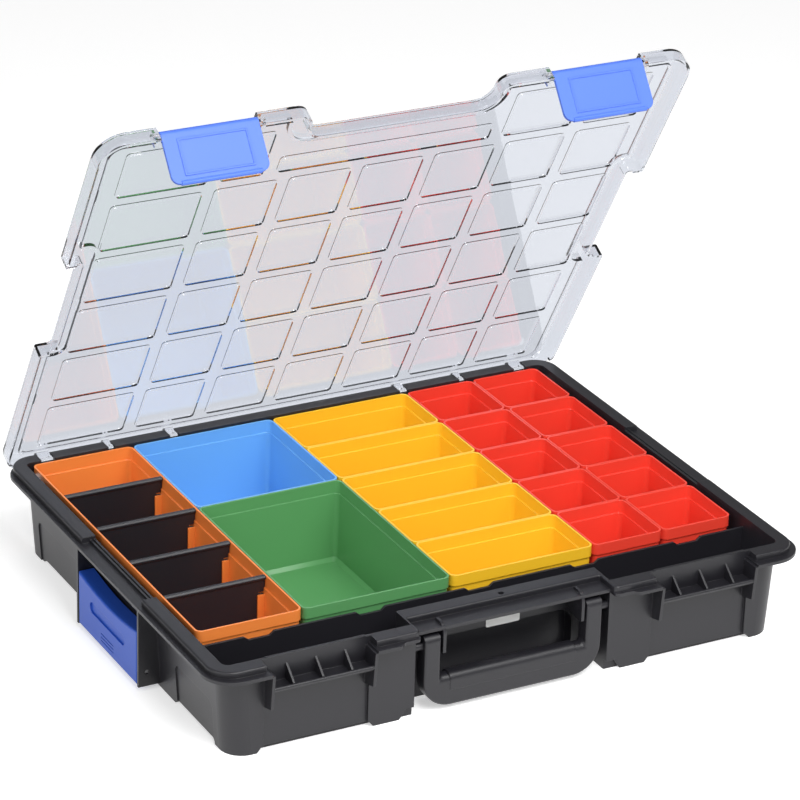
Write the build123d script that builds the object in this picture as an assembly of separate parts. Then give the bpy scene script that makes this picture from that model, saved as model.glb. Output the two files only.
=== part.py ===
"""Assortment case: a shallow base tray full of lift-out boxes, under a clear hinged lid with two latches,
with a carrying handle in front and a clip on each side. The lid is stored open, as in the photograph.

Frame: millimetres, +X to the right seen from the front, +Y to the hinge at the back, +Z up. The origin is
the middle of the tray's footprint, on the plane that the case stands on.
"""
from build123d import *
import math
import os

# Grid of the lift-out boxes, and the boxes
grid_pitch = 54.0
grid_rows = 5
short_columns = 6
long_box_width = 75.3
box_gap = 0.4
box_height = 60.8
box_wall = 1.2
box_corner_radius = 4.6
box_rim_height = 8.0
box_rim_step = 0.9
box_draft = 1.2
box_bottom_chamfer = 2.5
box_bottom_radius = 3.0

# Dividers of the long box
divider_thickness = 1.8
divider_bead_width = 4.0
divider_bead_height = 3.2
divider_clearance = 0.35
divider_notch_width = 3.5
divider_notch_height = 1.6
guide_rib_reach = 5.0
guide_rib_thickness = 1.2
guide_rib_drop = 13.0

# Base tray
base_half_width = 218.0
base_depth = 348.2
lip_top = 60.7
lip_thickness = 2.3
lip_corner_radius = 22.0
bead_top = 65.0
bead_side_inset = 3.7
bead_front_inset = 5.6
bead_corner_radius = 17.0
bead_edge_round = 1.4
back_rim_depth = 11.2
back_bar_bottom = 55.6
front_rim_depth = 16.6
floor_thickness = 2.1
floor_gap = 0.3
field_gap = 0.4
cavity_half_width_top = 204.4
cavity_half_width_floor = 200.0
cavity_corner_radius = 5.0
cavity_floor_chamfer = 5.0
wall_thickness = 2.0
outer_corner_radius = 15.0
column_depth = 4.5
panel_wall = 2.2

# Feet, and the wall edges that are lifted between them
foot_step = 3.4
foot_step_depth = 3.0
inner_foot_start = 82.3
inner_foot_end = 100.8
corner_foot_start = 183.0
foot_slant = 2.6
recess_foot_edge = 77.5
recess_foot_step = 7.0
recess_foot_depth = 0.8
side_foot_depth = 2.8
side_foot_step = 3.0
side_foot_spans = ((-138.5, -80.5), (47.5, 138.5))
side_panel_depth = 0.9
side_panel_top = 31.2
side_panel_radius = 6.0
side_panel_spans = ((-140.0, -84.0), (50.0, 141.5))

# Partition and front compartments
partition_gap = 6.5
partition_thickness = 1.6
partition_top = 57.3
partition_notch_depth = 2.6
partition_notch_width = 14.8
partition_notch_slant = 3.2
partition_notch_pitch = 79.8
partition_notch_count = 5

# Handle recess between the two front compartments
recess_half_width = 71.5
recess_wall = 2.0
recess_back_inset = 34.6
ledge_bead_inset = 25.6
ledge_lip_inset = 22.5
ledge_corner_radius = 1.0
bay_bead_radius = 3.5
bay_lip_start = 84.0
bay_lip_radius = 3.0
bay_lip_inset = 3.6
pocket_half_width = 57.0
pocket_top = 40.2
pocket_bottom = 5.0
pocket_depth = 8.5
pocket_radius = 10.0
ledge_hole_radius = 2.0
ledge_hole_inset = 30.4
ledge_hole_depth = 2.5
stop_place = 51.1
stop_thickness = 2.2
stop_inset = 10.9
stop_bottom = 41.5
stop_top = 62.6
stop_radius = 7.5
stop_low_radius = 1.5
stop_foot = 8.0
stop_foot_rise = 6.0
label_width = 25.0
label_height = 12.2
label_thickness = 0.3
label_place = (4.6, 45.6)
label_corner_radius = 1.2

# Carrying handle
handle_axis_inset = 16.0
handle_axis_height = 48.0
handle_half_width = 65.5
handle_arm_width = 11.6
handle_depth = 11.4
handle_drop = 44.6
handle_arm_rise = 7.9
handle_top_radius = 5.0
handle_corner_radius = 20.0
handle_edge_round = 1.6
handle_inner_fillet = 3.0
handle_bar_overlap = 0.8
grip_half_length = 46.6
grip_depth = 12.6
grip_opening_drop = 22.0
grip_seam_drop = 33.8
grip_seam_round = 0.8
grip_end_chamfer = 0.4
grip_end_step = 0.9
stub_radius = 2.6
stub_engagement = 1.6
running_clearance = 0.06

# Latch catches on the tray's front
catch_centre = 141.5
latch_width = 67.8
bracket_gap = 1.0
bracket_thickness = 2.0
bracket_bottom = 34.7
bracket_heel = 31.6
bracket_lean = 2.6
catch_bar_inset = 2.6
catch_bar_height = 48.7
catch_bar_radius = 1.4
catch_shelf_drop = 2.2
catch_shelf_thickness = 1.6
catch_panel_rise = 0.5
gusset_spacing = 20.5
gusset_thickness = 1.5
gusset_rise = 10.5

# Side clips and their housings
clip_front = -55.2
clip_length = 94.2
clip_end_gap = 0.8
clip_top = 42.6
clip_bottom = 3.9
clip_thickness = 11.4
clip_pin_inset = 6.0
clip_pin_height = 13.5
clip_pin_radius = 1.6
clip_swing_radius = 8.4
clip_wall = 2.4
clip_scoop_depth = 4.1
clip_edge_round = 1.3
clip_heel_chamfer = 5.4
clip_arc_middle_turn = -120
clip_pin_sink = 1.2
clip_recess_length = 56.0
clip_recess_height = 8.0
clip_recess_depth = 1.2
clip_recess_place = 26.0
clip_groove_length = 20.0
clip_groove_width = 0.8
clip_groove_depth = 0.4
clip_groove_places = (9.0, 11.5, 14.0)
cheek_thickness = 2.2
cheek_bottom = 3.2
rim_notch_front_margin = 0.3
rim_notch_back_margin = 2.5
rail_top = 62.6
rail_width = 4.0
rail_groove_width = 1.2
rail_groove_depth = 1.0

# Lid hinge
hinge_inset = 6.4
hinge_height = 60.2
hinge_pin_radius = 2.0
hook_outer_radius = 4.2
hook_mouth = 3.4
hook_side_gap = 0.45
hook_floor = 55.0
hook_places = ((91.0, 7.0), (139.0, 5.0), (187.0, 10.0))
hook_hole_margin = 2.0
lid_open_angle = 59.8

# Lid
lid_seat_gap = 0.6
rim_clearance = 0.4
lid_front_clearance = 2.9
lid_back_clearance = 1.0
lid_corner_radius = 20.0
lid_tight_radius = 1.5
lid_top = 72.2
lid_plate = 1.8
lid_skirt = 2.1
lid_channel = 8.4
lid_channel_back_reach = 4.6
lid_channel_ceiling = 70.2
rib_underside = 66.6
rib_thickness = 3.0
window_depth = 1.5
window_swell = 0.6
window_rib = 9.85
window_margin = 7.15
window_radius = 2.5
window_rows = 6
strip_half_width = 78.0
strip_depth = 13.8
strip_neighbour = 89.0
cutout_radius = 9.0
cutout_bend = 12.0
side_notch_inset = 11.8
back_skirt_rise = 4.0
lid_edge_round = 1.6
notch_skirt_reach = 5.0
notch_skirt_gap = 0.6
hook_mouth_angle = 40.0

# Latches
latch_axis_reach = 337.9
latch_axis_height = 66.1
latch_thickness = 2.2
latch_barrel_radius = 3.2
latch_length = 32.8
latch_corner_radius = 6.0
latch_pin_radius = 1.5
latch_pin_sink = 0.3
latch_side_gap = 0.9
latch_ear = 3.4
latch_slot = 4.8
latch_clipped_angle = 7.0
latch_photo_angle = 24.0
hook_rib_start = 22.5
hook_rib_height = 2.4
hook_rib_reach = 2.4
latch_frame_margin = 9.5
latch_frame_width = 1.2
latch_frame_height = 0.5
latch_lip_radius = 1.7

# Places that follow from the sizes above
base_front = -base_depth / 2
base_back = base_depth / 2
lip_bottom = lip_top - lip_thickness
cavity_back = base_back - back_rim_depth
cavity_front = base_front + front_rim_depth
field_back = cavity_back - field_gap
field_front = field_back - grid_rows * grid_pitch
field_half_width = (long_box_width + short_columns * grid_pitch) / 2
box_bottom = floor_thickness + floor_gap
box_top = box_bottom + box_height
panel_front = cavity_front - panel_wall
column_front = cavity_front - column_depth
outer_back = cavity_back + wall_thickness
partition_back = field_front - partition_gap
recess_back = base_front + recess_back_inset
bead_half_width = base_half_width - bead_side_inset
handle_axis_y = base_front + handle_axis_inset
hinge_y = base_back - hinge_inset
hinge_axis = Axis((0, hinge_y, hinge_height), (-1, 0, 0))
lid_half_width = bead_half_width + rim_clearance + lid_skirt
lid_front = base_front + bead_front_inset - lid_front_clearance - lid_skirt
lid_back = base_back + lid_back_clearance + lid_skirt
cutout_half_width = recess_half_width - rim_clearance - lid_skirt
cutout_front = base_front + ledge_bead_inset - rim_clearance - lid_skirt
skirt_bottom = lip_top + lid_seat_gap
latch_axis_y = hinge_y - latch_axis_reach
catch_half_width = latch_width / 2 + bracket_gap
catch_inner = catch_centre - catch_half_width - bracket_thickness
catch_outer = catch_centre + catch_half_width + bracket_thickness
catch_bar_y = base_front + catch_bar_inset
clip_back = clip_front + clip_length
clip_outer = base_half_width
clip_pin_x = clip_outer - clip_pin_inset
clip_inner = clip_outer - clip_thickness
rim_notch = (clip_front - rim_notch_front_margin, clip_back + rim_notch_back_margin)
overshoot = 1.0
pick_tolerance = 0.1
far_front = base_front - 10 * overshoot


def span_box(x, y, z):
    """Box between two places along each axis."""
    size = (x[1] - x[0], y[1] - y[0], z[1] - z[0])
    middle = ((x[0] + x[1]) / 2, (y[0] + y[1]) / 2, (z[0] + z[1]) / 2)
    return Pos(*middle) * Box(*size)


def outline(points):
    """Flat face through corners given as (x, y, radius)."""
    corners = [(x, y) for x, y, radius in points]
    radii = [radius for x, y, radius in points]
    return make_face(FilletPolyline(*corners, radius=radii, close=True).edges())


def symmetric_outline(right_half):
    """Flat face from the corners of its right half, front to back, mirrored to the left."""
    left_half = [(-x, y, radius) for x, y, radius in reversed(right_half)]
    return outline(right_half + left_half)


def prism(face, bottom, top):
    """Upright solid over a flat face, between two heights."""
    return extrude(Pos(0, 0, bottom) * face, amount=top - bottom)


def rounded_level(half_width, front, back, radius, height):
    """Rounded rectangle across the case at one height, for lofts."""
    middle = (front + back) / 2
    return Pos(0, middle, height) * RectangleRounded(2 * half_width, back - front, radius)


def side_profile(points, x_from, x_to):
    """Solid across X from a profile of (y, z) points."""
    face = make_face(Polyline([(0, y, z) for y, z in points], close=True).edges())
    return extrude(Pos(x_from, 0, 0) * face, amount=x_to - x_from, dir=(1, 0, 0))


def front_profile(points, y_from, y_to):
    """Solid along Y from a profile of (x, z) points."""
    face = make_face(Polyline([(x, 0, z) for x, z in points], close=True).edges())
    return extrude(Pos(0, y_from, 0) * face, amount=y_to - y_from, dir=(0, 1, 0))


def rod_x(radius, x_from, x_to, y, z):
    """Round bar along X."""
    length = x_to - x_from
    return Pos((x_from + x_to) / 2, y, z) * Rot(0, 90, 0) * Cylinder(radius, length)


def rod_y(radius, y_from, y_to, x, z):
    """Round bar along Y."""
    length = y_to - y_from
    return Pos(x, (y_from + y_to) / 2, z) * Rot(90, 0, 0) * Cylinder(radius, length)


def both_sides(shape):
    """A shape and its mirror image across the middle of the case."""
    return [shape, mirror(shape, about=Plane.YZ)]


def tray_body():
    """Walls and floor as one block, before the hollows are cut."""
    front = column_front
    low = rounded_level(
        cavity_half_width_floor + wall_thickness, front, outer_back, outer_corner_radius, 0
    )
    high = rounded_level(
        cavity_half_width_top + wall_thickness, front, outer_back, outer_corner_radius, lip_top
    )
    return loft([low, high], ruled=True)


def rim():
    """Lip and bead round the top, with the deeper bar that carries the hinge at the back."""
    lip_step = base_front + bay_lip_inset
    lip = prism(
        symmetric_outline([
            (recess_half_width, base_front + ledge_lip_inset, ledge_corner_radius),
            (recess_half_width, lip_step, bay_bead_radius),
            (bay_lip_start, lip_step, bay_lip_radius),
            (bay_lip_start + bay_lip_inset, base_front, bay_lip_radius),
            (base_half_width, base_front, lip_corner_radius),
            (base_half_width, base_back, lip_corner_radius),
        ]),
        lip_bottom,
        lip_top,
    )
    bead_front = base_front + bead_front_inset
    bead_outline = symmetric_outline([
        (recess_half_width, base_front + ledge_bead_inset, ledge_corner_radius),
        (recess_half_width, bead_front, bay_bead_radius),
        (bead_half_width, bead_front, bead_corner_radius),
        (bead_half_width, base_back, bead_corner_radius),
    ])
    bead = prism(bead_outline, lip_bottom, bead_top)
    bead = fillet(bead.faces().sort_by(Axis.Z)[-1].outer_wire().edges(), bead_edge_round)
    behind_wall = span_box(
        (-base_half_width, base_half_width), (cavity_back, base_back), (back_bar_bottom, lip_top)
    )
    back_bar = prism(bead_outline, back_bar_bottom, lip_top) & behind_wall
    return lip + bead + back_bar


def tray_hollow():
    """The space inside the tray: chamfered at the floor, wider towards the rim."""
    chamfer_top = floor_thickness + cavity_floor_chamfer
    inset = cavity_floor_chamfer
    floor_level = rounded_level(
        cavity_half_width_floor - inset, cavity_front + inset, cavity_back - inset, 1.0, floor_thickness
    )
    knee_level = rounded_level(
        cavity_half_width_floor, cavity_front, cavity_back, cavity_corner_radius, chamfer_top
    )
    rim_level = rounded_level(
        cavity_half_width_top, cavity_front, cavity_back, cavity_corner_radius, bead_top + overshoot
    )
    hollow = loft([floor_level, knee_level], ruled=True) + loft([knee_level, rim_level], ruled=True)
    reach = base_half_width
    front_of_partition = partition_back - partition_thickness
    hollow -= span_box((-reach, reach), (front_of_partition, partition_back), (0, partition_top))
    notch_low = partition_top - partition_notch_depth
    slant = partition_notch_slant
    for step in range(partition_notch_count):
        place = (step - (partition_notch_count - 1) / 2) * partition_notch_pitch
        half = partition_notch_width / 2
        notch = [
            (place - half, notch_low),
            (place + half, notch_low),
            (place + half + slant, partition_top),
            (place - half - slant, partition_top),
        ]
        hollow += front_profile(notch, front_of_partition, partition_back)
    ledge_back = recess_back + recess_wall
    end_wall = recess_half_width + recess_wall
    top = bead_top + 2 * overshoot
    hollow -= span_box((-end_wall, end_wall), (base_front, ledge_back), (0, top))
    pocket_wall = pocket_half_width + recess_wall
    pocket_back = recess_back + pocket_depth + recess_wall
    hollow -= span_box((-pocket_wall, pocket_wall), (base_front, pocket_back), (0, pocket_top + recess_wall))
    return hollow


def handle_recess():
    """What is cut from the front for the handle: the recess, its pocket and the room over the ledge."""
    low = -overshoot
    top = bead_top + 2 * overshoot
    half = recess_half_width
    cut = span_box((-half, half), (far_front, recess_back), (low, lip_bottom))
    pocket_height = pocket_top - pocket_bottom
    pocket_face = RectangleRounded(2 * pocket_half_width, pocket_height, pocket_radius)
    pocket_middle = (0, recess_back + pocket_depth, (pocket_top + pocket_bottom) / 2)
    cut += extrude(Pos(*pocket_middle) * Rot(90, 0, 0) * pocket_face, amount=2 * pocket_depth)
    cut += Pos(0, base_front + ledge_hole_inset, bead_top) * Cylinder(ledge_hole_radius, 2 * ledge_hole_depth)
    for side in (-1, 1):
        cut += rod_x(
            stub_radius + running_clearance,
            side * (half + recess_wall / 2) - recess_wall,
            side * (half + recess_wall / 2) + recess_wall,
            handle_axis_y,
            handle_axis_height,
        )
    return cut


def recess_fittings():
    """Two rounded stops that hang from the ledge beside the handle's arms."""
    front = base_front + stop_inset
    face = outline([
        (recess_back + overshoot, stop_top, 0.0),
        (front, stop_top, stop_radius),
        (front, stop_bottom, stop_low_radius),
        (front + stop_foot, stop_bottom, stop_low_radius),
        (recess_back + overshoot, stop_bottom + stop_foot_rise, 0.0),
    ])
    upright = Plane((stop_place - stop_thickness / 2, 0, 0), x_dir=(0, 1, 0), z_dir=(1, 0, 0))
    stop = extrude(upright * face, amount=stop_thickness)
    stop &= span_box((0, recess_half_width), (front, recess_back + overshoot), (0, stop_top))
    under_lid = cutout_front - rim_clearance
    above_lip = (lip_top, stop_top + overshoot)
    stop -= span_box((0, recess_half_width), (under_lid, recess_back + 2 * overshoot), above_lip)
    return both_sides(stop)


def catch_zone():
    """Room in the front for a latch: from bracket to bracket, and wider above the lip for the lid's ears."""
    top = bead_top + overshoot
    ear_reach = latch_width / 2 + latch_side_gap + latch_ear + rim_clearance
    ear_span = (catch_centre - ear_reach, catch_centre + ear_reach)
    zone = span_box((catch_inner, catch_outer), (far_front, panel_front), (-overshoot, top))
    return zone + span_box(ear_span, (far_front, panel_front), (lip_top, top))


def latch_catch():
    """Panel, brackets, bar with its shelf, and gussets, on the right-hand side."""
    left = catch_centre - catch_half_width
    right = catch_centre + catch_half_width
    embed = panel_wall / 2
    root = panel_front + embed
    panel_top = bead_top + catch_panel_rise
    fitting = span_box((left, right), (panel_front, cavity_front), (lip_bottom, panel_top))
    bracket_profile = [
        (root, lip_bottom + overshoot),
        (base_front, lip_bottom + overshoot),
        (base_front + bracket_lean, bracket_bottom),
        (panel_front, bracket_heel),
        (root, bracket_heel),
    ]
    fitting += side_profile(bracket_profile, left - bracket_thickness, left)
    fitting += side_profile(bracket_profile, right, right + bracket_thickness)
    fitting += rod_x(catch_bar_radius, left - embed, right + embed, catch_bar_y, catch_bar_height)
    shelf_low = catch_bar_height - catch_shelf_drop
    shelf = (shelf_low, shelf_low + catch_shelf_thickness)
    fitting += span_box((left - embed, right + embed), (catch_bar_y, root), shelf)
    gusset_profile = [
        (root, shelf_low + catch_shelf_thickness / 2),
        (catch_bar_y, shelf_low + catch_shelf_thickness / 2),
        (catch_bar_y, catch_bar_height + catch_bar_radius / 2),
        (panel_front, catch_bar_height + gusset_rise),
        (root, catch_bar_height + gusset_rise),
    ]
    for step in (-1, 0, 1):
        place = catch_centre + step * gusset_spacing
        fitting += side_profile(gusset_profile, place - gusset_thickness / 2, place + gusset_thickness / 2)
    return fitting


def foot_cuts():
    """Cuts with slanted ends that lift the wall's lower edge between the feet."""
    front_reach = panel_front + foot_step_depth
    between_feet = front_profile(
        [
            (inner_foot_end, -overshoot),
            (corner_foot_start, -overshoot),
            (corner_foot_start, 0),
            (corner_foot_start - foot_slant, foot_step),
            (inner_foot_end + foot_slant, foot_step),
            (inner_foot_end, 0),
        ],
        far_front,
        front_reach,
    )
    beside_recess = front_profile(
        [
            (0, -overshoot),
            (inner_foot_start, -overshoot),
            (inner_foot_start, 0),
            (inner_foot_start - foot_slant, foot_step),
            (recess_foot_edge, recess_foot_step),
            (0, recess_foot_step),
        ],
        far_front,
        panel_front + recess_foot_depth,
    )
    cuts = both_sides(between_feet) + both_sides(beside_recess)
    low_half = cavity_half_width_floor + wall_thickness - side_foot_depth
    for front, back in side_foot_spans:
        profile = [
            (front, -overshoot),
            (back, -overshoot),
            (back, 0),
            (back - foot_slant, side_foot_step),
            (front + foot_slant, side_foot_step),
            (front, 0),
        ]
        cuts += both_sides(side_profile(profile, low_half, base_half_width))
    return cuts


def side_panels():
    """Shallow sunk panels in the side walls, parallel to the drafted wall."""
    draft = (cavity_half_width_top - cavity_half_width_floor) / (bead_top + overshoot)
    cuts = []
    for front, back in side_panel_spans:
        face = outline([
            (front, -overshoot, 0.0),
            (back, -overshoot, 0.0),
            (back, side_panel_top, side_panel_radius),
            (front, side_panel_top, side_panel_radius),
        ])
        wall_x = cavity_half_width_floor + wall_thickness
        tilt = math.degrees(math.atan(draft))
        wall_plane = Plane((wall_x - side_panel_depth, 0, 0), x_dir=(0, 1, 0), z_dir=(1, 0, 0))
        sunk = extrude(wall_plane * face, amount=base_half_width - wall_x)
        sunk = sunk.rotate(Axis((wall_x - side_panel_depth, 0, 0), (0, 1, 0)), tilt)
        cuts += both_sides(sunk)
    return cuts


def rim_notch_cut():
    """Gap in the bead above each side clip, with the low double rail left standing."""
    rail_outer = cavity_half_width_top + rail_width
    above_lip = (lip_top, bead_top + overshoot)
    above_rail = (rail_top, bead_top + overshoot)
    cut = span_box((rail_outer, base_half_width + overshoot), rim_notch, above_lip)
    cut += span_box((cavity_half_width_top - overshoot, rail_outer), rim_notch, above_rail)
    groove_middle = cavity_half_width_top + rail_width / 2
    groove = (groove_middle - rail_groove_width / 2, groove_middle + rail_groove_width / 2)
    cut += span_box(groove, rim_notch, (rail_top - rail_groove_depth, bead_top))
    return both_sides(cut)


def clip_housing():
    """Two cheeks that carry a side clip's pin, on the right-hand side."""
    wall_inside = cavity_half_width_floor + wall_thickness / 2
    front_cheek = (clip_front - clip_end_gap - cheek_thickness, clip_front - clip_end_gap)
    back_cheek = (clip_back + clip_end_gap, clip_back + clip_end_gap + cheek_thickness)
    housing = []
    for span in (front_cheek, back_cheek):
        cheek = span_box((wall_inside, base_half_width), span, (cheek_bottom, lip_bottom + overshoot))
        cheek -= rod_y(
            clip_pin_radius, span[0] - overshoot, span[1] + overshoot, clip_pin_x, clip_pin_height
        )
        housing.append(cheek)
    return housing


def hook_gaps():
    """Gaps in the back bar for the lid's hinge hooks, on the right-hand side."""
    cut = []
    for place, width in hook_places:
        half = width / 2
        across = (place - half, place + half)
        top = bead_top + overshoot
        behind = base_back + overshoot
        cut.append(span_box(across, (cavity_back - overshoot, behind), (hook_floor, top)))
        cut.append(span_box(across, (outer_back, behind), (back_bar_bottom - overshoot, top)))
    return cut


def hinge_pins():
    """Hinge pin in each gap, on the right-hand side."""
    pins = []
    for place, width in hook_places:
        reach = width / 2 + hook_hole_margin
        pins.append(rod_x(hinge_pin_radius, place - reach, place + reach, hinge_y, hinge_height))
    return pins


def case_base():
    """The whole tray, one moulding."""
    body = tray_body() + rim()
    body -= tray_hollow()
    body -= handle_recess()
    body -= both_sides(catch_zone())
    body -= rim_notch_cut()
    body -= foot_cuts()
    body -= side_panels()
    for cut in hook_gaps():
        body -= both_sides(cut)
    for pin in hinge_pins():
        body += both_sides(pin)
    body += both_sides(latch_catch())
    for cheek in clip_housing():
        body += both_sides(cheek)
    body += recess_fittings()
    return body


def box_shell(left, right, front, back):
    """Open box with a taller rim band, a step below it and a chamfered floor edge."""
    half_x = (right - left - box_gap) / 2
    half_y = (back - front - box_gap) / 2
    middle = ((left + right) / 2, (front + back) / 2)
    band_low = box_top - box_rim_height

    def level(inset, height, radius):
        face = RectangleRounded(2 * (half_x - inset), 2 * (half_y - inset), radius)
        return Pos(middle[0], middle[1], height) * face

    def hollow_and_body(extra, floor_height, chamfer_size, top):
        step = box_rim_step + extra
        low = step + box_draft
        radius_top = box_corner_radius - box_rim_step
        knee = floor_height + chamfer_size
        shelf = band_low - extra
        lower = loft([level(low, knee, box_bottom_radius), level(step, shelf, radius_top)], ruled=True)
        chamfered = loft(
            [
                level(low + chamfer_size, floor_height, box_bottom_radius / 2),
                level(low, knee, box_bottom_radius),
            ],
            ruled=True,
        )
        band = prism(level(extra, 0, box_corner_radius - extra / 2), shelf, top)
        return lower + chamfered + band

    body = hollow_and_body(0.0, box_bottom, box_bottom_chamfer, box_top)
    hollow = hollow_and_body(box_wall, box_bottom + box_wall, box_bottom_chamfer, box_top + overshoot)
    return body - hollow


def column_line(column):
    """Grid line across X: the long box fills column 0, the short columns follow."""
    if column == 0:
        return -field_half_width
    return -field_half_width + long_box_width + (column - 1) * grid_pitch


def row_line(row):
    """Grid line along Y, counted from the hinge side."""
    return field_back - row * grid_pitch


def grid_box(columns, rows):
    """Box over a range of grid columns and rows."""
    return box_shell(
        column_line(columns[0]), column_line(columns[1]), row_line(rows[1]), row_line(rows[0])
    )


def long_box_inside(height):
    """Half of the inner width of the long box at a height below its rim band."""
    draft_height = box_height - box_rim_height - box_bottom_chamfer
    share = (box_top - box_rim_height - height) / draft_height
    inset = box_gap / 2 + box_rim_step + box_wall + box_draft * share
    return long_box_width / 2 - inset


def long_box_middle():
    """Middle of the long box across X."""
    return -field_half_width + long_box_width / 2


def orange_long_box():
    """Long box with a pair of guide ribs on both long walls at each divider."""
    body = grid_box((0, 1), (0, grid_rows))
    rib_top = box_top - guide_rib_drop
    rib_low = box_bottom + box_wall / 2
    pair_offset = divider_thickness / 2 + divider_clearance
    middle = long_box_middle()
    near = long_box_inside(rib_top) - guide_rib_reach
    far = long_box_inside(rib_top) + box_wall / 2
    far_low = long_box_inside(box_bottom + box_bottom_chamfer) - box_bottom_chamfer
    for row in range(1, grid_rows):
        for direction in (-1, 1):
            close = row_line(row) + direction * pair_offset
            away = close + direction * guide_rib_thickness
            span = (min(close, away), max(close, away))
            for side in (-1, 1):
                upright = Plane((middle, span[0], 0), x_dir=(side, 0, 0), z_dir=(0, -side, 0))
                face = upright * outline([
                    (near, rib_low, 0.0),
                    (far_low, rib_low, 0.0),
                    (far_low + box_bottom_chamfer, rib_low + box_bottom_chamfer, 0.0),
                    (far, rib_top, 0.0),
                    (near, rib_top, 0.0),
                ])
                body += extrude(face, amount=guide_rib_thickness, dir=(0, 1, 0))
    return body


def divider(row):
    """Black divider plate with a bead along its top, standing between the guide ribs."""
    middle = long_box_middle()
    top = box_top
    band_low = top - box_rim_height - box_wall
    foot = box_bottom + box_wall + divider_clearance
    knee = box_bottom + box_wall + box_bottom_chamfer
    wide = long_box_width / 2 - box_gap / 2 - box_wall - divider_clearance
    waist = long_box_inside(band_low) - divider_clearance
    low = long_box_inside(knee) - divider_clearance
    plate_top = top - divider_bead_height / 2
    notch_low = top - guide_rib_drop
    half_outline = [
        (low - box_bottom_chamfer - divider_clearance, foot, 0.0),
        (low, knee + divider_clearance, 0.0),
        (waist, band_low, 0.0),
        (wide, band_low + box_wall + divider_clearance, 0.0),
        (wide, plate_top, 0.0),
    ]
    upright = Plane((middle, row_line(row) + divider_thickness / 2, 0), x_dir=(1, 0, 0), z_dir=(0, -1, 0))
    plate = extrude(upright * symmetric_outline(half_outline), amount=divider_thickness)
    bead_bottom = top - divider_bead_height
    bead_y = (row_line(row) - divider_bead_width / 2, row_line(row) + divider_bead_width / 2)
    bead = span_box((middle - wide, middle + wide), bead_y, (bead_bottom, top))
    long_edges = bead.edges().filter_by(Axis.X)
    bead = chamfer(long_edges, divider_bead_width / 4)
    plate += bead
    for side in (-1, 1):
        inner = middle + side * (waist - divider_notch_width)
        outer = middle + side * (wide + overshoot)
        notch = (notch_low, notch_low + divider_notch_height)
        plate -= span_box((min(inner, outer), max(inner, outer)), bead_y, notch)
    return plate


def recess_label():
    """Bare label with rounded corners on the recess wall."""
    half = label_width / 2
    x, z = label_place
    height = (z - label_height / 2, z + label_height / 2)
    label = span_box((x - half, x + half), (recess_back - label_thickness, recess_back), height)
    return fillet(label.edges().filter_by(Axis.Y), label_corner_radius)


def across_handle(points, half_length):
    """Solid along the handle from a profile of (depth, height, radius) points about its axis."""
    start = Plane((-half_length, handle_axis_y, handle_axis_height), x_dir=(0, 1, 0), z_dir=(1, 0, 0))
    return extrude(start * outline(points), amount=2 * half_length)


def carrying_handle():
    """U-shaped bar with rounded arm tops, a thicker grip on its lower run and a stub axle on each arm."""
    half_bar = handle_arm_width / 2
    half_depth = handle_depth / 2
    arm_x = handle_half_width - half_bar
    inner = handle_half_width - handle_arm_width
    top = handle_axis_height + handle_arm_rise
    low = handle_axis_height - handle_drop + half_bar
    upright = Plane((0, handle_axis_y, 0), x_dir=(1, 0, 0), z_dir=(0, -1, 0))
    path = upright * FilletPolyline(
        (-arm_x, top), (-arm_x, low), (arm_x, low), (arm_x, top), radius=handle_corner_radius - half_bar
    )
    start = Plane((-arm_x, handle_axis_y, top), x_dir=(1, 0, 0), z_dir=(0, 0, -1))
    section = start * RectangleRounded(handle_arm_width, handle_depth, handle_edge_round)
    body = sweep(section, path=path)
    body &= across_handle(
        [
            (-half_depth, -handle_drop - overshoot, 0.0),
            (half_depth, -handle_drop - overshoot, 0.0),
            (half_depth, handle_arm_rise, handle_top_radius),
            (-half_depth, handle_arm_rise, handle_top_radius),
        ],
        handle_half_width,
    )
    end_top = -grip_opening_drop - grip_end_step
    body += across_handle(
        [
            (-half_depth, half_bar - handle_drop, 0.0),
            (half_depth, half_bar - handle_drop, 0.0),
            (half_depth, end_top, handle_top_radius),
            (-half_depth, end_top, handle_top_radius),
        ],
        inner + handle_bar_overlap,
    )
    corner_low = handle_axis_height + end_top - handle_top_radius - overshoot
    corner_high = handle_axis_height + end_top + overshoot
    corners = [
        edge
        for edge in body.edges()
        if abs(abs(edge.center().X) - inner) < pick_tolerance
        and corner_low < edge.center().Z < corner_high
    ]
    body = fillet(corners, handle_inner_fillet)
    half_grip = grip_depth / 2
    grip = across_handle(
        [
            (-half_grip, -grip_seam_drop, grip_seam_round),
            (half_grip, -grip_seam_drop, grip_seam_round),
            (half_grip, -grip_opening_drop, handle_top_radius),
            (-half_grip, -grip_opening_drop, handle_top_radius),
        ],
        grip_half_length,
    )
    grip_ends = grip.faces().filter_by(Axis.X).edges()
    body += chamfer(grip_ends, grip_end_chamfer)
    for side in (-1, 1):
        inside = side * (handle_half_width - overshoot)
        tip = side * (recess_half_width + stub_engagement)
        body += rod_x(
            stub_radius, min(inside, tip), max(inside, tip), handle_axis_y, handle_axis_height
        )
    return body


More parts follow.
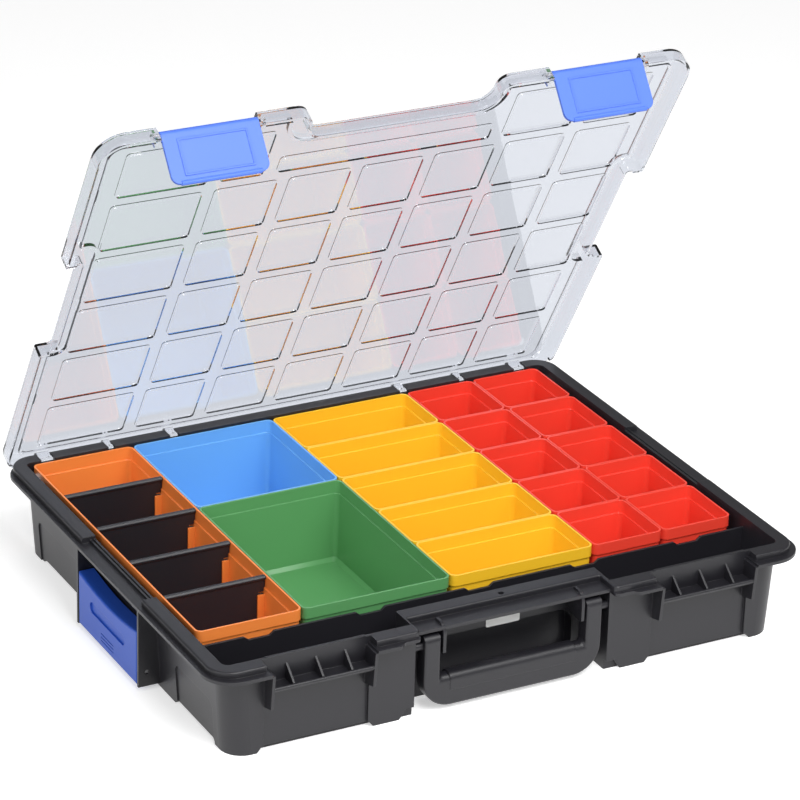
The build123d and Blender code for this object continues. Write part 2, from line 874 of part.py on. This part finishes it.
def side_clip():
    """Right-hand side clip: hollow behind, rounded round its pin, with a sagging top edge, a finger recess
    and grip lines."""
    swing = clip_swing_radius
    low = clip_bottom - clip_pin_height
    high = clip_top - clip_pin_height
    inner = -(clip_thickness - clip_pin_inset)
    inner_low = -math.sqrt(swing ** 2 - inner ** 2)
    middle_turn = math.radians(clip_arc_middle_turn)
    arc_middle = (swing * math.cos(middle_turn), swing * math.sin(middle_turn))
    heel = clip_pin_inset - clip_heel_chamfer
    face = make_face(
        [
            Line((inner, high), (inner, inner_low)),
            ThreePointArc((inner, inner_low), arc_middle, (0, -swing)),
            Line((0, -swing), (heel, low)),
            Line((heel, low), (clip_pin_inset, low)),
            Line((clip_pin_inset, low), (clip_pin_inset, high)),
            Line((clip_pin_inset, high), (inner, high)),
        ]
    )
    end_plane = Plane((clip_pin_x, clip_back, clip_pin_height), x_dir=(1, 0, 0), z_dir=(0, -1, 0))
    body = extrude(end_plane * face, amount=clip_length)
    middle_y = (clip_front + clip_back) / 2
    sag = clip_scoop_depth
    scoop_radius = (clip_length ** 2 / 4 + sag ** 2) / (2 * sag)
    scoop_z = clip_top - sag + scoop_radius
    body -= rod_x(scoop_radius, clip_inner - overshoot, clip_outer + overshoot, middle_y, scoop_z)
    body = fillet(body.faces().sort_by(Axis.X)[-1].outer_wire().edges(), clip_edge_round)
    hollow_top = clip_top - sag - clip_wall
    hollow_low = clip_pin_height + clip_pin_radius + clip_wall
    body -= span_box(
        (clip_inner - overshoot, clip_outer - clip_wall - clip_recess_depth),
        (clip_front + clip_wall, clip_back - clip_wall),
        (hollow_low, hollow_top),
    )
    recess_face = SlotOverall(clip_recess_length, clip_recess_height)
    outer_plane = Plane(
        (clip_outer - clip_recess_depth, middle_y, clip_recess_place), x_dir=(0, 1, 0), z_dir=(1, 0, 0)
    )
    body -= extrude(outer_plane * recess_face, amount=2 * clip_recess_depth)
    for height in clip_groove_places:
        half = clip_groove_length / 2
        half_width = clip_groove_width / 2
        body -= span_box(
            (clip_outer - clip_groove_depth, clip_outer + overshoot),
            (middle_y - half, middle_y + half),
            (height - half_width, height + half_width),
        )
    bore = clip_pin_radius + running_clearance
    body -= rod_y(bore, clip_front - overshoot, clip_back + overshoot, clip_pin_x, clip_pin_height)
    return body


def side_clip_pin():
    """Pin through the right-hand side clip and its two cheeks, sunk a little in both of them."""
    reach = clip_end_gap + cheek_thickness - clip_pin_sink
    return rod_y(clip_pin_radius, clip_front - reach, clip_back + reach, clip_pin_x, clip_pin_height)


def lid_plan(inset):
    """Plan of the closed lid, drawn in from its outer edge by an inset."""
    front = lid_front + inset
    back = lid_back - inset
    side = lid_half_width - inset
    notch = lid_half_width - side_notch_inset - inset
    notch_front = rim_notch[0] + rim_clearance + lid_skirt - inset
    notch_back = rim_notch[1] - rim_clearance - lid_skirt + inset
    cut_front = cutout_front + inset
    cut_side = cutout_half_width + inset
    depth = cutout_front - lid_front
    tight = max(lid_tight_radius - inset, lid_tight_radius / 3)
    hollow_radius = min(2 * lid_tight_radius + inset, side_notch_inset - 2 * lid_tight_radius)
    return symmetric_outline([
        (cut_side, cut_front, min(cutout_bend + inset, depth - 2 * lid_tight_radius)),
        (cut_side, front, max(cutout_radius - inset, tight)),
        (side, front, lid_corner_radius - inset),
        (side, notch_front, tight),
        (notch, notch_front, hollow_radius),
        (notch, notch_back, hollow_radius),
        (side, notch_back, tight),
        (side, back, lid_corner_radius - inset),
    ])


def window_spans():
    """Window panels of the lid as (x from, x to, y from, y to), row by row from the hinge."""
    spans = []
    half_rib = window_rib / 2
    for row in range(window_rows):
        back = row_line(row) - (window_margin if row == 0 else half_rib)
        front = row_line(row + 1) + (window_margin if row == window_rows - 1 else half_rib)
        for column in range(short_columns + 1):
            left = column_line(column) + (window_margin if column == 0 else half_rib)
            right = column_line(column + 1) - (window_margin if column == short_columns else half_rib)
            if row < window_rows - 1:
                spans.append((left, right, front, back))
                continue
            if left < -strip_neighbour < right:
                right = -strip_neighbour
            if left - grid_pitch < strip_neighbour < right:
                left = strip_neighbour
            if left >= strip_neighbour or right <= -strip_neighbour:
                spans.append((left, right, front, back))
    last_back = row_line(window_rows - 1) - half_rib
    spans.append((-strip_half_width, strip_half_width, last_back - strip_depth, last_back))
    return spans


def window_block(span, grow, bottom, top):
    """Rounded block over one window, drawn out by a margin."""
    left, right, front, back = span
    width = right - left + 2 * grow
    depth = back - front + 2 * grow
    face = RectangleRounded(width, depth, window_radius + grow)
    return prism(Pos((left + right) / 2, (front + back) / 2, 0) * face, bottom, top)


def latch_slot_cut():
    """Slot in the lid's front edge for the right-hand latch."""
    half = latch_width / 2 + latch_side_gap
    back = latch_axis_y + latch_slot
    heights = (skirt_bottom - overshoot, lid_top + overshoot)
    return span_box((catch_centre - half, catch_centre + half), (far_front, back), heights)


def latch_ears():
    """Solid ears at both ends of the right-hand latch, each with a hole for the pin."""
    half = latch_width / 2 + latch_side_gap
    back = latch_axis_y + latch_slot
    heights = (skirt_bottom, lid_top - lid_plate / 2)
    ears = []
    for start in (catch_centre - half - latch_ear, catch_centre + half):
        ears.append(span_box((start, start + latch_ear), (lid_front + lid_skirt / 2, back), heights))
    return ears


def hinge_hook(place, width):
    """One C-shaped hinge hook, hanging from the lid's plate round its pin."""
    half = width / 2 - hook_side_gap
    across = (place - half, place + half)
    hook = rod_x(hook_outer_radius, across[0], across[1], hinge_y, hinge_height)
    behind = hinge_y + hook_outer_radius
    web_top = lid_channel_ceiling + lid_plate / 2
    hook += span_box(across, (hinge_y - hook_outer_radius / 2, behind), (hinge_height, web_top))
    wider = (across[0] - overshoot, across[1] + overshoot)
    hook -= rod_x(hinge_pin_radius + running_clearance, wider[0], wider[1], hinge_y, hinge_height)
    mouth = span_box(wider, (-2 * hook_outer_radius, 0), (-hook_mouth / 2, hook_mouth / 2))
    return hook - Pos(0, hinge_y, hinge_height) * Rot(hook_mouth_angle, 0, 0) * mouth


def lid_channel_room():
    """Room under the lid's raised border, between its skirt and the lower plate."""
    inner_edge = lid_skirt + lid_channel
    low = rib_underside - overshoot
    room = prism(lid_plan(lid_skirt), low, lid_channel_ceiling)
    room -= prism(lid_plan(inner_edge), low - overshoot, lid_channel_ceiling + overshoot)
    room += span_box(
        (inner_edge - lid_half_width, lid_half_width - inner_edge),
        (hinge_y - lid_channel_back_reach, hinge_y),
        (low, lid_channel_ceiling),
    )
    return room


def closed_lid():
    """The lid in its closed place: plate with thinner windows between broad ribs, raised rim channel, skirt,
    ears and hooks."""
    rib_top = rib_underside + rib_thickness
    body = prism(lid_plan(0), skirt_bottom, lid_top)
    body = fillet(body.faces().sort_by(Axis.Z)[-1].outer_wire().edges(), lid_edge_round)
    body -= prism(lid_plan(lid_skirt), skirt_bottom - overshoot, rib_underside)
    body -= lid_channel_room()
    body -= prism(lid_plan(lid_skirt + lid_channel + lid_plate), rib_top, lid_top + overshoot)
    spans = window_spans()
    body += [window_block(span, window_swell, rib_underside, rib_top + window_swell) for span in spans]
    low = rib_underside - overshoot
    body -= [window_block(span, 0, low, rib_underside + window_depth) for span in spans]
    notch_skirt = span_box(
        (cavity_half_width_top - notch_skirt_reach, cavity_half_width_top + rail_width + notch_skirt_gap),
        (rim_notch[0] - overshoot, rim_notch[1] + overshoot),
        (skirt_bottom - overshoot, rail_top + lid_seat_gap),
    )
    body -= both_sides(notch_skirt)
    body -= span_box(
        (-lid_half_width - overshoot, lid_half_width + overshoot),
        (hinge_y - hook_outer_radius, lid_back + overshoot),
        (skirt_bottom - overshoot, hinge_height + back_skirt_rise),
    )
    body -= both_sides(latch_slot_cut())
    for ear in latch_ears():
        body += both_sides(ear)
    half = latch_width / 2 + latch_side_gap + latch_ear + overshoot
    pin_hole = rod_x(
        latch_pin_radius + running_clearance,
        catch_centre - half,
        catch_centre + half,
        latch_axis_y,
        latch_axis_height,
    )
    body -= both_sides(pin_hole)
    for place, width in hook_places:
        body += both_sides(hinge_hook(place, width))
    return body


def latch_pin():
    """Hinge pin of the right-hand latch, from ear to ear, lid closed."""
    half = latch_width / 2 + latch_side_gap + latch_ear - latch_pin_sink
    return rod_x(latch_pin_radius, catch_centre - half, catch_centre + half, latch_axis_y, latch_axis_height)


def hanging_latch():
    """Right-hand latch hanging straight down from its pin, lid closed."""
    half = latch_width / 2
    left = catch_centre - half
    right = catch_centre + half
    outer_y = latch_axis_y - latch_barrel_radius
    low = latch_axis_height - latch_length
    face = outline([
        (left, latch_axis_height, 0.0),
        (left, low, latch_corner_radius),
        (right, low, latch_corner_radius),
        (right, latch_axis_height, 0.0),
    ])
    upright = Plane((0, outer_y + latch_thickness, 0), x_dir=(1, 0, 0), z_dir=(0, -1, 0))
    body = extrude(upright * face, amount=latch_thickness)
    body += rod_x(latch_barrel_radius, left, right, latch_axis_y, latch_axis_height)
    frame_top = latch_axis_height - latch_barrel_radius - latch_frame_height
    frame = (
        (left + latch_frame_margin, right - latch_frame_margin),
        (outer_y - latch_frame_height, outer_y + overshoot),
        (low + latch_frame_margin / 2, frame_top),
    )
    ridge = span_box(*frame)
    inner = latch_frame_width
    ridge -= span_box(
        (frame[0][0] + inner, frame[0][1] - inner),
        (outer_y - overshoot, outer_y + 2 * overshoot),
        (frame[2][0] + inner, frame[2][1] - inner),
    )
    body += ridge
    lip_reach = half - latch_corner_radius
    lip_y = outer_y + latch_thickness / 2
    body += rod_x(
        latch_lip_radius, catch_centre - lip_reach, catch_centre + lip_reach, lip_y, low + latch_lip_radius / 2
    )
    rib_top = latch_axis_height - hook_rib_start
    body += span_box(
        (left + latch_corner_radius, right - latch_corner_radius),
        (outer_y + overshoot, outer_y + latch_thickness + hook_rib_reach),
        (rib_top - hook_rib_height, rib_top),
    )
    bore = latch_pin_radius + running_clearance
    body -= rod_x(bore, left - overshoot, right + overshoot, latch_axis_y, latch_axis_height)
    return body


def with_open_lid(shape):
    """Swing a piece of the closed lid to the open angle of the photograph."""
    return shape.rotate(hinge_axis, lid_open_angle)


def latch_as_shown():
    """The right-hand latch as the photograph shows it: folded in a little from hanging straight."""
    latch_axis = Axis((0, latch_axis_y, latch_axis_height), (-1, 0, 0))
    return with_open_lid(hanging_latch().rotate(latch_axis, -latch_photo_angle))


def all_boxes():
    """Every lift-out box by name."""
    boxes = {"orange_long_box": orange_long_box()}
    boxes["blue_box"] = grid_box((1, 3), (0, 2))
    boxes["green_box"] = grid_box((1, 3), (2, grid_rows))
    for row in range(grid_rows):
        boxes[f"yellow_box_{row + 1}"] = grid_box((3, 5), (row, row + 1))
    for column in (5, 6):
        for row in range(grid_rows):
            number = (column - 5) * grid_rows + row + 1
            boxes[f"red_box_{number}"] = grid_box((column, column + 1), (row, row + 1))
    return boxes


def all_pieces():
    """Every piece of the case by name, in its place."""
    pieces = {"case_base": case_base(), "lid": with_open_lid(closed_lid())}
    pairs = {
        "latch": latch_as_shown(),
        "latch_pin": with_open_lid(latch_pin()),
        "side_clip": side_clip(),
        "side_clip_pin": side_clip_pin(),
    }
    for name, right_piece in pairs.items():
        pieces[f"{name}_right"] = right_piece
        pieces[f"{name}_left"] = mirror(right_piece, about=Plane.YZ)
    pieces["carrying_handle"] = carrying_handle()
    pieces["recess_label"] = recess_label()
    pieces.update(all_boxes())
    for row in range(1, grid_rows):
        pieces[f"divider_{row}"] = divider(row)
    return pieces


def main():
    os.makedirs("parts", exist_ok=True)
    for name, shape in all_pieces().items():
        export_step(shape, f"parts/{name}.step")


main()
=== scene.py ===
"""Looks of the assortment case: moulded plastics, clear lid, studio floor, lamps and the camera."""
import math

import bpy
import numpy as np
from mathutils import Matrix, Vector

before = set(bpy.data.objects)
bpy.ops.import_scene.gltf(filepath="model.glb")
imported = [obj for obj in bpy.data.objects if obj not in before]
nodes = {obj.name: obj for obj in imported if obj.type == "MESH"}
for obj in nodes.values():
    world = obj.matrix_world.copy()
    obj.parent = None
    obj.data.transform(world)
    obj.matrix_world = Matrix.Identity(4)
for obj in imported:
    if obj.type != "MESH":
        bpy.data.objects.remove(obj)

bpy.context.scene.view_settings.view_transform = "Standard"
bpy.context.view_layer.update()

# Camera of the photograph, fitted to the grid of the lift-out boxes: degrees, millimetres and pixels;
# the farthest view is in metres
view_azimuth = -28.4168
view_elevation = 24.5237
view_roll = 1.6521
view_focal_px = 3736.058
view_distance = 2553.102
view_shift_right = 14.4589
view_shift_up = 61.5581
grid_centre = (0.0, 27.5, 63.2)
image_px = 800
sensor_mm = 36.0
millimetres_per_metre = 1000
farthest_view = 50

# Floor: metres, and levels from 0 to 1
floor_radius = 6.0
floor_rings = 24
floor_spokes = 48
floor_white = 0.86
floor_roughness = 0.9
floor_shine = 0.1
floor_glow = 0.50
behind_lid = (0.84, 0.87, 0.92)

# World that lights the scene
world_level = 0.30
world_colour = (1.0, 1.0, 1.0)

# Moulded plastic: soft changes of tone over the whole piece, fine grain, edges that look rounded
tone_scale = 14.0
tone_detail = 3.0
noise_middle = 0.5
grain_detail = 2.0
edge_samples = 4
smooth_depth = 0.00001
grainy_depth = 0.00004

# Clear plastic: how much of a lamp's light the lid lets through to what lies behind it
lid_shadow = (0.9, 0.9, 0.9)


def photo_camera():
    """Camera at the photograph's place: turned about the grid's centre, then rolled."""
    azimuth, elevation, roll = (math.radians(a) for a in (view_azimuth, view_elevation, view_roll))
    back = Vector((
        math.sin(azimuth) * math.cos(elevation),
        -math.cos(azimuth) * math.cos(elevation),
        math.sin(elevation),
    ))
    level_right = (-back).cross(Vector((0, 0, 1))).normalized()
    level_up = level_right.cross(-back)
    right = level_right * math.cos(roll) + level_up * math.sin(roll)
    up = level_up * math.cos(roll) - level_right * math.sin(roll)
    place = Vector(grid_centre) + back * view_distance + right * view_shift_right + up * view_shift_up
    data = bpy.data.cameras.new("photo_camera")
    data.sensor_width = sensor_mm
    data.lens = view_focal_px / image_px * sensor_mm
    data.clip_end = farthest_view
    camera = bpy.data.objects.new("photo_camera", data)
    turn = Matrix((right, up, back)).transposed().to_4x4()
    camera.matrix_world = Matrix.Translation(place / millimetres_per_metre) @ turn
    bpy.context.scene.collection.objects.link(camera)
    bpy.context.scene.camera = camera


def soft_lamp(name, place, aim, size, power):
    """Square area lamp that looks from its place to a point: metres and watts."""
    data = bpy.data.lights.new(name, "AREA")
    data.shape = "SQUARE"
    data.size = size
    data.energy = power
    lamp = bpy.data.objects.new(name, data)
    lamp.visible_camera = False
    direction = Vector(aim) - Vector(place)
    lamp.matrix_world = Matrix.Translation(place) @ direction.to_track_quat("-Z", "Y").to_matrix().to_4x4()
    bpy.context.scene.collection.objects.link(lamp)


def seen_ray(tree, kinds):
    """1 for rays of the named kinds, 0 for the rest."""
    path = tree.nodes.new("ShaderNodeLightPath")
    seen = path.outputs[kinds[0]]
    for kind in kinds[1:]:
        either = tree.nodes.new("ShaderNodeMath")
        either.operation = "MAXIMUM"
        tree.links.new(seen, either.inputs[0])
        tree.links.new(path.outputs[kind], either.inputs[1])
        seen = either.outputs[0]
    return seen


def studio_world():
    """World that lights at a plain level and shows a pale backdrop to the camera and through the lid."""
    world = bpy.data.worlds.new("studio_world")
    bpy.context.scene.world = world
    world.use_nodes = True
    tree = world.node_tree
    tree.nodes.clear()
    output = tree.nodes.new("ShaderNodeOutputWorld")
    mix = tree.nodes.new("ShaderNodeMixShader")
    lit = tree.nodes.new("ShaderNodeBackground")
    lit.inputs["Color"].default_value = (*world_colour, 1)
    lit.inputs["Strength"].default_value = world_level
    shown = tree.nodes.new("ShaderNodeBackground")
    shown.inputs["Color"].default_value = (*behind_lid, 1)
    tree.links.new(seen_ray(tree, ("Is Camera Ray", "Is Transmission Ray")), mix.inputs["Fac"])
    tree.links.new(lit.outputs[0], mix.inputs[1])
    tree.links.new(shown.outputs[0], mix.inputs[2])
    tree.links.new(mix.outputs[0], output.inputs["Surface"])


def floor_disc(radius, rings, spokes):
    """Round floor: rings of points about the origin at growing radius, joined into quads, closed middle."""
    turn = np.linspace(0, 2 * np.pi, spokes, endpoint=False)
    reach = np.linspace(radius / rings, radius, rings)
    points = np.zeros((rings * spokes + 1, 3))
    points[1:, 0] = np.outer(reach, np.cos(turn)).ravel()
    points[1:, 1] = np.outer(reach, np.sin(turn)).ravel()
    spoke = np.arange(spokes)
    after = (spoke + 1) % spokes
    middle = np.stack([np.zeros(spokes, int), 1 + spoke, 1 + after], 1)
    quads = []
    for ring in range(rings - 1):
        inner = 1 + ring * spokes
        outer = inner + spokes
        quads.append(np.stack([inner + spoke, outer + spoke, outer + after, inner + after], 1))
    mesh = bpy.data.meshes.new("studio_floor")
    mesh.from_pydata(points.tolist(), [], middle.tolist() + np.concatenate(quads).tolist())
    floor = bpy.data.objects.new("studio_floor", mesh)
    bpy.context.scene.collection.objects.link(floor)
    return floor


def floor_finish():
    """Pale floor that keeps soft shadows and fades to white; seen through the clear lid it is plain grey."""
    material = bpy.data.materials.new("studio_floor")
    material.use_nodes = True
    tree = material.node_tree
    link = tree.links.new
    shader = tree.nodes["Principled BSDF"]
    shader.inputs["Base Color"].default_value = (floor_white, floor_white, floor_white, 1)
    shader.inputs["Roughness"].default_value = floor_roughness
    shader.inputs["Specular IOR Level"].default_value = floor_shine
    glow = tree.nodes.new("ShaderNodeEmission")
    add = tree.nodes.new("ShaderNodeAddShader")
    level = tree.nodes.new("ShaderNodeMath")
    level.operation = "MULTIPLY"
    level.inputs[1].default_value = floor_glow
    link(seen_ray(tree, ("Is Camera Ray", "Is Glossy Ray")), level.inputs[0])
    link(level.outputs[0], glow.inputs["Strength"])
    link(shader.outputs[0], add.inputs[0])
    link(glow.outputs[0], add.inputs[1])
    behind = tree.nodes.new("ShaderNodeEmission")
    behind.inputs["Color"].default_value = (*behind_lid, 1)
    through = tree.nodes.new("ShaderNodeMixShader")
    link(seen_ray(tree, ("Is Transmission Ray",)), through.inputs["Fac"])
    link(add.outputs[0], through.inputs[1])
    link(behind.outputs[0], through.inputs[2])
    link(through.outputs[0], tree.nodes["Material Output"].inputs["Surface"])
    return material


def moulded_grain_group():
    """Node group for moulded plastic: fine grain height, soft colour variation and uneven gloss."""
    group = bpy.data.node_groups.new("moulded_grain", "ShaderNodeTree")
    sockets = group.interface
    sockets.new_socket("Color", in_out="INPUT", socket_type="NodeSocketColor")
    for entry in ("Grain Scale", "Variation", "Roughness", "Gloss Change"):
        sockets.new_socket(entry, in_out="INPUT", socket_type="NodeSocketFloat")
    sockets.new_socket("Color", in_out="OUTPUT", socket_type="NodeSocketColor")
    for result in ("Roughness", "Height"):
        sockets.new_socket(result, in_out="OUTPUT", socket_type="NodeSocketFloat")
    enter = group.nodes.new("NodeGroupInput")
    leave = group.nodes.new("NodeGroupOutput")
    place = group.nodes.new("ShaderNodeTexCoord")
    fine = group.nodes.new("ShaderNodeTexNoise")
    fine.inputs["Detail"].default_value = grain_detail
    broad = group.nodes.new("ShaderNodeTexNoise")
    broad.inputs["Scale"].default_value = tone_scale
    broad.inputs["Detail"].default_value = tone_detail
    link = group.links.new
    link(place.outputs["Object"], fine.inputs["Vector"])
    link(place.outputs["Object"], broad.inputs["Vector"])
    link(enter.outputs["Grain Scale"], fine.inputs["Scale"])
    centred = group.nodes.new("ShaderNodeMath")
    centred.operation = "SUBTRACT"
    centred.inputs[1].default_value = noise_middle
    link(broad.outputs["Fac"], centred.inputs[0])
    shift = group.nodes.new("ShaderNodeMath")
    shift.operation = "MULTIPLY_ADD"
    shift.inputs[2].default_value = 1.0
    link(centred.outputs[0], shift.inputs[0])
    link(enter.outputs["Variation"], shift.inputs[1])
    tone = group.nodes.new("ShaderNodeHueSaturation")
    link(shift.outputs[0], tone.inputs["Value"])
    link(enter.outputs["Color"], tone.inputs["Color"])
    gloss = group.nodes.new("ShaderNodeMath")
    gloss.operation = "MULTIPLY_ADD"
    link(centred.outputs[0], gloss.inputs[0])
    link(enter.outputs["Gloss Change"], gloss.inputs[1])
    link(enter.outputs["Roughness"], gloss.inputs[2])
    link(tone.outputs["Color"], leave.inputs["Color"])
    link(gloss.outputs[0], leave.inputs["Roughness"])
    link(fine.outputs["Fac"], leave.inputs["Height"])
    return group


grain_group = moulded_grain_group()


def moulded_plastic(
    name,
    colour,
    roughness,
    grain_scale=300.0,
    grain_depth=smooth_depth,
    variation=0.05,
    gloss_change=0.08,
    edge_radius=0.0006,
    shine=0.5,
):
    """Moulded plastic with rounded-looking edges, fine grain and slightly uneven gloss."""
    material = bpy.data.materials.new(name)
    material.use_nodes = True
    tree = material.node_tree
    shader = tree.nodes["Principled BSDF"]
    grain = tree.nodes.new("ShaderNodeGroup")
    grain.node_tree = grain_group
    grain.inputs["Color"].default_value = (*colour, 1)
    grain.inputs["Grain Scale"].default_value = grain_scale
    grain.inputs["Variation"].default_value = variation
    grain.inputs["Roughness"].default_value = roughness
    grain.inputs["Gloss Change"].default_value = gloss_change
    edge = tree.nodes.new("ShaderNodeBevel")
    edge.samples = edge_samples
    edge.inputs["Radius"].default_value = edge_radius
    shader.inputs["Specular IOR Level"].default_value = shine
    bump = tree.nodes.new("ShaderNodeBump")
    bump.inputs["Strength"].default_value = 1.0
    bump.inputs["Distance"].default_value = grain_depth
    link = tree.links.new
    link(edge.outputs["Normal"], bump.inputs["Normal"])
    link(grain.outputs["Height"], bump.inputs["Height"])
    link(grain.outputs["Color"], shader.inputs["Base Color"])
    link(grain.outputs["Roughness"], shader.inputs["Roughness"])
    link(bump.outputs["Normal"], shader.inputs["Normal"])
    return material


def clear_plastic(name, colour, roughness, ior):
    """Clear moulded plastic that bends light in its thickness and lets lamps through to what is behind."""
    material = bpy.data.materials.new(name)
    material.use_nodes = True
    tree = material.node_tree
    shader = tree.nodes["Principled BSDF"]
    shader.inputs["Base Color"].default_value = (*colour, 1)
    shader.inputs["Roughness"].default_value = roughness
    shader.inputs["IOR"].default_value = ior
    shader.inputs["Transmission Weight"].default_value = 1.0
    clear = tree.nodes.new("ShaderNodeBsdfTransparent")
    clear.inputs["Color"].default_value = (*lid_shadow, 1)
    mix = tree.nodes.new("ShaderNodeMixShader")
    tree.links.new(seen_ray(tree, ("Is Shadow Ray",)), mix.inputs["Fac"])
    tree.links.new(shader.outputs[0], mix.inputs[1])
    tree.links.new(clear.outputs[0], mix.inputs[2])
    tree.links.new(mix.outputs[0], tree.nodes["Material Output"].inputs["Surface"])
    return material


# Surfaces that differ from the smooth one of the lift-out boxes
tray_grain = {"grain_scale": 900.0, "grain_depth": grainy_depth, "variation": 0.25, "gloss_change": 0.1}
divider_grain = {"grain_scale": 500.0, "variation": 0.2, "gloss_change": 0.1, "edge_radius": 0.0005}
blue_grain = {"grain_scale": 400.0, "variation": 0.06, "gloss_change": 0.1}
pin_grain = {"grain_scale": 600.0, "variation": 0.1, "gloss_change": 0.1, "edge_radius": 0.0002}
label_grain = {"grain_scale": 800.0, "variation": 0.04, "gloss_change": 0.1, "edge_radius": 0.0001}

black = moulded_plastic("base_black", (0.0125, 0.012, 0.0155), roughness=0.4, **tray_grain)
divider_black = moulded_plastic("divider_black", (0.014, 0.014, 0.018), roughness=0.40, **divider_grain)
orange = moulded_plastic("orange_gloss", (0.90, 0.255, 0.053), roughness=0.22)
red = moulded_plastic("red_gloss", (0.86, 0.058, 0.034), roughness=0.22)
yellow = moulded_plastic("yellow_gloss", (0.93, 0.54, 0.026), roughness=0.22)
green = moulded_plastic("green_gloss", (0.105, 0.32, 0.115), roughness=0.24)
light_blue = moulded_plastic("light_blue_gloss", (0.15, 0.41, 0.80), roughness=0.24)
latch_blue = moulded_plastic("latch_blue", (0.085, 0.185, 0.72), roughness=0.4, shine=0.35, **blue_grain)
clip_blue = moulded_plastic("clip_blue", (0.022, 0.090, 0.50), roughness=0.4, shine=0.3, **blue_grain)
pin_grey = moulded_plastic("pin_grey", (0.30, 0.30, 0.31), roughness=0.35, **pin_grain)
label_white = moulded_plastic("label_white", (0.86, 0.86, 0.84), roughness=0.5, **label_grain)
clear = clear_plastic("lid_clear", (0.87, 0.875, 0.90), roughness=0.02, ior=1.49)

# Finish of each node, found by the start of its name; the first start that fits counts
finishes = {
    "case_base": black,
    "carrying_handle": black,
    "lid": clear,
    "recess_label": label_white,
    "orange_long_box": orange,
    "blue_box": light_blue,
    "green_box": green,
    "red_box": red,
    "yellow_box": yellow,
    "divider": divider_black,
    "latch_pin": pin_grey,
    "side_clip_pin": pin_grey,
    "latch": latch_blue,
    "side_clip": clip_blue,
}
for name, node in nodes.items():
    start = next(start for start in finishes if name.startswith(start))
    node.data.materials.clear()
    node.data.materials.append(finishes[start])

floor = floor_disc(floor_radius, floor_rings, floor_spokes)
floor.data.materials.append(floor_finish())
photo_camera()
studio_world()
soft_lamp("key_lamp", place=(-0.05, -0.85, 0.95), aim=(0, 0, 0.05), size=0.7, power=13)
soft_lamp("left_lamp", place=(-2.4, -0.6, 1.5), aim=(0, 0, 0), size=1.6, power=24)
soft_lamp("edge_lamp", place=(1.1, -1.05, 2.0), aim=(0, 0, 0), size=1.0, power=12)
